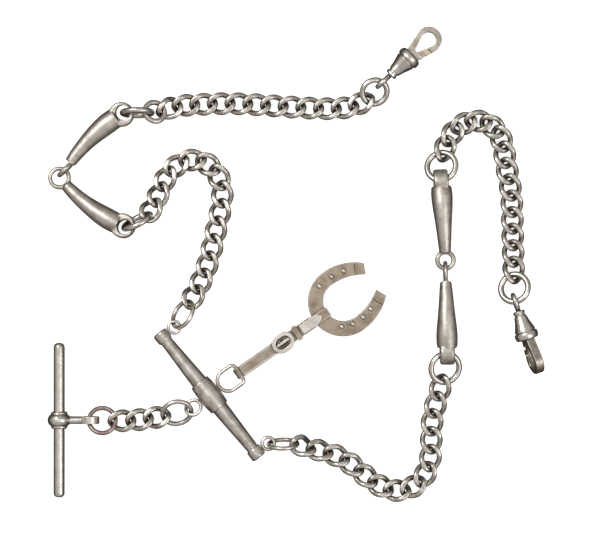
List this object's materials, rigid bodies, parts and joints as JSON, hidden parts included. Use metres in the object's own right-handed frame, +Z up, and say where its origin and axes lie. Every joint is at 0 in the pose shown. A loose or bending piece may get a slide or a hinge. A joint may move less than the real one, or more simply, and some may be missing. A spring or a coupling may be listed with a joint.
{
  "type": "double pocket watch chain",
  "caption": "Double curb watch chain with a T-bar, two dog clips, jointed snaffle bits, a swingletree bar and a horseshoe fob on a buckled strap.",
  "frame": {"origin": "on the table under the middle of the laid-out chain's bounding box", "axes": "+Z up off the table, +X across the laid-out chain from the T-bar towards the second dog clip, +Y along the T-bar towards the first snaffle bit"},
  "size_m": [0.1156, 0.1108, 0.0084],
  "materials": {
    "link_silver": "worn silver, dark brown tarnish in the crossings",
    "ring_silver": "polished worn silver wire",
    "bar_silver": "worn satin silver, darker in the grooves",
    "tbar_silver": "polished silver with a worn darker patch",
    "satin_silver": "satin grey silver with fine scratches and bright rims",
    "polished_silver": "polished silver, tarnished inside the loop",
    "fob_silver": "silver with a brown patina in the recesses, bright rims",
    "gate_metal": "yellowish spring metal",
    "tarnished_ring": "silver tarnished warm, slightly purple"
  },
  "bodies": {
    "swingletree": {"tree_bar": "bar_silver", "tree_collar": "bar_silver", "tree_ferrules": "bar_silver", "tree_eyes": "bar_silver", "fob_d_ring": "ring_silver"},
    "fob": {"fob_strap": "fob_silver", "fob_buckle": "fob_silver", "fob_prong": "fob_silver", "fob_keeper": "fob_silver", "fob_tongue": "fob_silver", "horseshoe": "fob_silver", "horseshoe_nails": "fob_silver"},
    "upper_eye_ring": {"upper_eye_ring": "ring_silver"},
    "left_links_1": {"left_links_1": "link_silver"},
    "left_links_2": {"left_links_2": "link_silver"},
    "left_links_3": {"left_links_3": "link_silver"},
    "left_links_4": {"left_links_4": "link_silver"},
    "left_links_5": {"left_links_5": "link_silver"},
    "left_bit_ring": {"left_bit_ring": "ring_silver"},
    "bit_1_lower_cannon": {"bit_1_lower_cannon": "satin_silver"},
    "bit_1_upper_cannon": {"bit_1_upper_cannon": "satin_silver"},
    "top_bit_ring": {"top_bit_ring": "ring_silver"},
    "top_small_ring": {"top_small_ring": "ring_silver"},
    "top_links_1": {"top_links_1": "link_silver"},
    "top_links_2": {"top_links_2": "link_silver"},
    "top_links_3": {"top_links_3": "link_silver"},
    "top_links_4": {"top_links_4": "link_silver"},
    "top_dog_ring": {"top_dog_ring": "ring_silver"},
    "top_clip_swivel_eye": {"top_clip_swivel_eye": "polished_silver"},
    "top_clip_body": {"top_clip_body": "polished_silver", "top_clip_hook": "polished_silver", "top_clip_gate_pin": "polished_silver"},
    "top_clip_gate": {"top_clip_gate": "gate_metal"},
    "lower_eye_ring": {"lower_eye_ring": "ring_silver"},
    "lower_links_1": {"lower_links_1": "link_silver"},
    "lower_links_2": {"lower_links_2": "link_silver"},
    "lower_links_3": {"lower_links_3": "link_silver"},
    "lower_links_4": {"lower_links_4": "link_silver"},
    "lower_links_5": {"lower_links_5": "link_silver"},
    "lower_bit_ring": {"lower_bit_ring": "ring_silver"},
    "bit_2_lower_cannon": {"bit_2_lower_cannon": "satin_silver"},
    "bit_2_upper_cannon": {"bit_2_upper_cannon": "satin_silver"},
    "right_bit_ring": {"right_bit_ring": "ring_silver"},
    "right_links_1": {"right_links_1": "link_silver"},
    "right_links_2": {"right_links_2": "link_silver"},
    "right_links_3": {"right_links_3": "link_silver"},
    "right_links_4": {"right_links_4": "link_silver"},
    "right_links_5": {"right_links_5": "link_silver"},
    "right_dog_ring": {"right_dog_ring": "ring_silver"},
    "right_clip_swivel_eye": {"right_clip_swivel_eye": "polished_silver"},
    "right_clip_body": {"right_clip_body": "polished_silver", "right_clip_hook": "polished_silver", "right_clip_gate_pin": "polished_silver"},
    "right_clip_gate": {"right_clip_gate": "gate_metal"},
    "tee_ring": {"tee_ring": "ring_silver"},
    "tee_links_1": {"tee_links_1": "link_silver"},
    "tee_links_2": {"tee_links_2": "link_silver"},
    "tee_end_ring": {"tee_end_ring": "tarnished_ring"},
    "tee_bar": {"tee_rod": "tbar_silver", "tee_collar": "tbar_silver"}
  },
  "joints": [
    {"name": "fob_swing", "type": "hinge", "parent": "swingletree", "child": "fob", "pos_m": [-0.01323, -0.02522, 0.00299], "axis": [-0.5678, 0.8231, 0], "range_deg": [-60, 60]},
    {"name": "upper_eye_ring_hinge", "type": "hinge", "parent": "swingletree", "child": "upper_eye_ring", "pos_m": [-0.0277, -0.01406, 0.00349], "axis": [-0.869, 0.4948, 0], "range_deg": [-10, 15]},
    {"name": "left_links_1_hinge", "type": "hinge", "parent": "upper_eye_ring", "child": "left_links_1", "pos_m": [-0.02494, -0.0092, 0.00328], "axis": [0.8642, -0.5032, 0], "range_deg": [-15, 15]},
    {"name": "left_links_2_hinge", "type": "hinge", "parent": "left_links_1", "child": "left_links_2", "pos_m": [-0.01998, 0.00208, 0.00171], "axis": [-0.9744, 0.2249, 0], "range_deg": [-15, 15]},
    {"name": "left_links_3_hinge", "type": "hinge", "parent": "left_links_2", "child": "left_links_3", "pos_m": [-0.01717, 0.01435, 0.00169], "axis": [1, -0.0093, 0], "range_deg": [-15, 15]},
    {"name": "left_links_4_hinge", "type": "hinge", "parent": "left_links_3", "child": "left_links_4", "pos_m": [-0.02212, 0.02448, 0.0017], "axis": [0.0348, -0.9994, 0], "range_deg": [-10, 5]},
    {"name": "left_links_5_hinge", "type": "hinge", "parent": "left_links_4", "child": "left_links_5", "pos_m": [-0.03136, 0.01828, 0.00206], "axis": [-0.944, 0.3301, 0], "range_deg": [-15, 15]},
    {"name": "left_bit_ring_hinge", "type": "hinge", "parent": "left_links_5", "child": "left_bit_ring", "pos_m": [-0.03457, 0.0112, 0.00461], "axis": [0.4433, -0.8964, 0], "range_deg": [-15, 15]},
    {"name": "bit_1_lower_cannon_hinge", "type": "hinge", "parent": "left_bit_ring", "child": "bit_1_lower_cannon", "pos_m": [-0.03688, 0.01006, 0.00448], "axis": [0.4433, -0.8964, 0], "range_deg": [-20, 20]},
    {"name": "bit_1_middle_joint", "type": "hinge", "parent": "bit_1_lower_cannon", "child": "bit_1_upper_cannon", "pos_m": [-0.05503, 0.02018, 0.00314], "axis": [0, 0, 1], "range_deg": [-10, 25]},
    {"name": "top_bit_ring_hinge", "type": "hinge", "parent": "bit_1_upper_cannon", "child": "top_bit_ring", "pos_m": [-0.03952, 0.03531, 0.00434], "axis": [-0.0095, 1, 0], "range_deg": [-15, 5]},
    {"name": "top_small_ring_hinge", "type": "hinge", "parent": "top_bit_ring", "child": "top_small_ring", "pos_m": [-0.03426, 0.03536, 0.00414], "axis": [0.1444, -0.9895, 0], "range_deg": [-15, 15]},
    {"name": "top_links_1_hinge", "type": "hinge", "parent": "top_small_ring", "child": "top_links_1", "pos_m": [-0.03139, 0.03578, 0.00295], "axis": [-0.3247, 0.9458, 0], "range_deg": [-10, 15]},
    {"name": "top_links_2_hinge", "type": "hinge", "parent": "top_links_1", "child": "top_links_2", "pos_m": [-0.01948, 0.03751, 0.00168], "axis": [0.0182, -0.9998, 0], "range_deg": [-15, 15]},
    {"name": "top_links_3_hinge", "type": "hinge", "parent": "top_links_2", "child": "top_links_3", "pos_m": [-0.00709, 0.03718, 0.00169], "axis": [0.07, 0.9975, 0], "range_deg": [-15, 15]},
    {"name": "top_links_4_hinge", "type": "hinge", "parent": "top_links_3", "child": "top_links_4", "pos_m": [0.0053, 0.03642, 0.00171], "axis": [-0.0198, -0.9998, 0], "range_deg": [-15, 15]},
    {"name": "top_dog_ring_hinge", "type": "hinge", "parent": "top_links_4", "child": "top_dog_ring", "pos_m": [0.01714, 0.03853, 0.00232], "axis": [-0.8099, 0.5866, 0], "range_deg": [-15, 10]},
    {"name": "top_clip_fold", "type": "hinge", "parent": "top_dog_ring", "child": "top_clip_swivel_eye", "pos_m": [0.02005, 0.04254, 0.00335], "axis": [-0.6769, 0.7361, 0], "range_deg": [-40, 40]},
    {"name": "top_clip_swivel", "type": "hinge", "parent": "top_clip_swivel_eye", "child": "top_clip_body", "pos_m": [0.02309, 0.04514, 0.00319], "axis": [0.7361, 0.6769, 0], "continuous": true},
    {"name": "top_clip_gate_swing", "type": "hinge", "parent": "top_clip_body", "child": "top_clip_gate", "pos_m": [0.029, 0.04824, 0.00319], "axis": [0, 0, 1], "range_deg": [0, 22], "stiffness_Nm_per_rad": 0.00001, "springref_deg": -8.59},
    {"name": "lower_eye_ring_hinge", "type": "hinge", "parent": "swingletree", "child": "lower_eye_ring", "pos_m": [-0.00581, -0.04184, 0.00394], "axis": [-0.0307, 0.9995, 0], "range_deg": [-5, 15]},
    {"name": "lower_links_1_hinge", "type": "hinge", "parent": "lower_eye_ring", "child": "lower_links_1", "pos_m": [-0.00026, -0.04167, 0.00382], "axis": [-0.2947, -0.9556, 0], "range_deg": [-10, 15]},
    {"name": "lower_links_2_hinge", "type": "hinge", "parent": "lower_links_1", "child": "lower_links_2", "pos_m": [0.01141, -0.0454, 0.00169], "axis": [0.6131, 0.79, 0], "range_deg": [-15, 15]},
    {"name": "lower_links_3_hinge", "type": "hinge", "parent": "lower_links_2", "child": "lower_links_3", "pos_m": [0.02156, -0.05264, 0.00169], "axis": [-0.0369, -0.9993, 0], "range_deg": [-15, 15]},
    {"name": "lower_links_4_hinge", "type": "hinge", "parent": "lower_links_3", "child": "lower_links_4", "pos_m": [0.03115, -0.04719, 0.0017], "axis": [-0.9932, 0.1166, 0], "range_deg": [-15, 15]},
    {"name": "lower_links_5_hinge", "type": "hinge", "parent": "lower_links_4", "child": "lower_links_5", "pos_m": [0.03203, -0.0347, 0.00174], "axis": [0.961, -0.2765, 0], "range_deg": [-15, 15]},
    {"name": "lower_bit_ring_hinge", "type": "hinge", "parent": "lower_links_5", "child": "lower_bit_ring", "pos_m": [0.03432, -0.02669, 0.00239], "axis": [-0.9844, 0.1759, 0], "range_deg": [-15, 15]},
    {"name": "bit_2_lower_cannon_hinge", "type": "hinge", "parent": "lower_bit_ring", "child": "bit_2_lower_cannon", "pos_m": [0.03525, -0.02102, 0.00344], "axis": [1, 0, 0], "range_deg": [-40, 40]},
    {"name": "bit_2_middle_joint", "type": "hinge", "parent": "bit_2_lower_cannon", "child": "bit_2_upper_cannon", "pos_m": [0.03484, -0.00087, 0.00314], "axis": [1, 0, 0], "range_deg": [-30, 30]},
    {"name": "right_bit_ring_hinge", "type": "hinge", "parent": "bit_2_upper_cannon", "child": "right_bit_ring", "pos_m": [0.03372, 0.0205, 0.00365], "axis": [-0.9972, 0.0752, 0], "range_deg": [-15, 15]},
    {"name": "right_links_1_hinge", "type": "hinge", "parent": "right_bit_ring", "child": "right_links_1", "pos_m": [0.03408, 0.02527, 0.00215], "axis": [0.9433, -0.3319, 0], "range_deg": [-15, 5]},
    {"name": "right_links_2_hinge", "type": "hinge", "parent": "right_links_1", "child": "right_links_2", "pos_m": [0.04075, 0.03366, 0.00169], "axis": [0.0704, 0.9975, 0], "range_deg": [-5, 15]},
    {"name": "right_links_3_hinge", "type": "hinge", "parent": "right_links_2", "child": "right_links_3", "pos_m": [0.04853, 0.02754, 0.00169], "axis": [-0.995, -0.1003, 0], "range_deg": [-15, 15]},
    {"name": "right_links_4_hinge", "type": "hinge", "parent": "right_links_3", "child": "right_links_4", "pos_m": [0.05033, 0.01612, 0.0017], "axis": [0.9993, 0.0374, 0], "range_deg": [-15, 15]},
    {"name": "right_links_5_hinge", "type": "hinge", "parent": "right_links_4", "child": "right_links_5", "pos_m": [0.05066, 0.00452, 0.00168], "axis": [-0.9997, -0.0234, 0], "range_deg": [-15, 15]},
    {"name": "right_dog_ring_hinge", "type": "hinge", "parent": "right_links_5", "child": "right_dog_ring", "pos_m": [0.05084, -0.00314, 0.00231], "axis": [0.9995, 0.0315, 0], "range_deg": [-5, 15]},
    {"name": "right_clip_fold", "type": "hinge", "parent": "right_dog_ring", "child": "right_clip_swivel_eye", "pos_m": [0.05101, -0.00861, 0.00377], "axis": [0.9478, 0.3189, 0], "range_deg": [-40, 40]},
    {"name": "right_clip_swivel", "type": "hinge", "parent": "right_clip_swivel_eye", "child": "right_clip_body", "pos_m": [0.05229, -0.01226, 0.00354], "axis": [0.3189, -0.9478, 0], "continuous": true},
    {"name": "right_clip_gate_swing", "type": "hinge", "parent": "right_clip_body", "child": "right_clip_gate", "pos_m": [0.05392, -0.01851, 0.00188], "axis": [-0.9155, -0.3081, 0.2588], "range_deg": [0, 22], "stiffness_Nm_per_rad": 0.00001, "springref_deg": -8.59},
    {"name": "tee_ring_hinge", "type": "hinge", "parent": "swingletree", "child": "tee_ring", "pos_m": [-0.02505, -0.03368, 0.00299], "axis": [0.2959, -0.9552, 0], "range_deg": [-15, 15]},
    {"name": "tee_links_1_hinge", "type": "hinge", "parent": "tee_ring", "child": "tee_links_1", "pos_m": [-0.03026, -0.03529, 0.00268], "axis": [-0.1438, 0.9896, 0], "range_deg": [-15, 15]},
    {"name": "tee_links_2_hinge", "type": "hinge", "parent": "tee_links_1", "child": "tee_links_2", "pos_m": [-0.03848, -0.03638, 0.00257], "axis": [0.0052, -1, 0], "range_deg": [-15, 15]},
    {"name": "tee_end_ring_hinge", "type": "hinge", "parent": "tee_links_2", "child": "tee_end_ring", "pos_m": [-0.04266, -0.0364, 0.00279], "axis": [0.037, 0.9993, 0], "range_deg": [-15, 15]},
    {"name": "tee_bar_fold", "type": "hinge", "parent": "tee_end_ring", "child": "tee_bar", "pos_m": [-0.04798, -0.03622, 0.00299], "axis": [0, 1, 0], "range_deg": [-40, 40]}
  ]
}
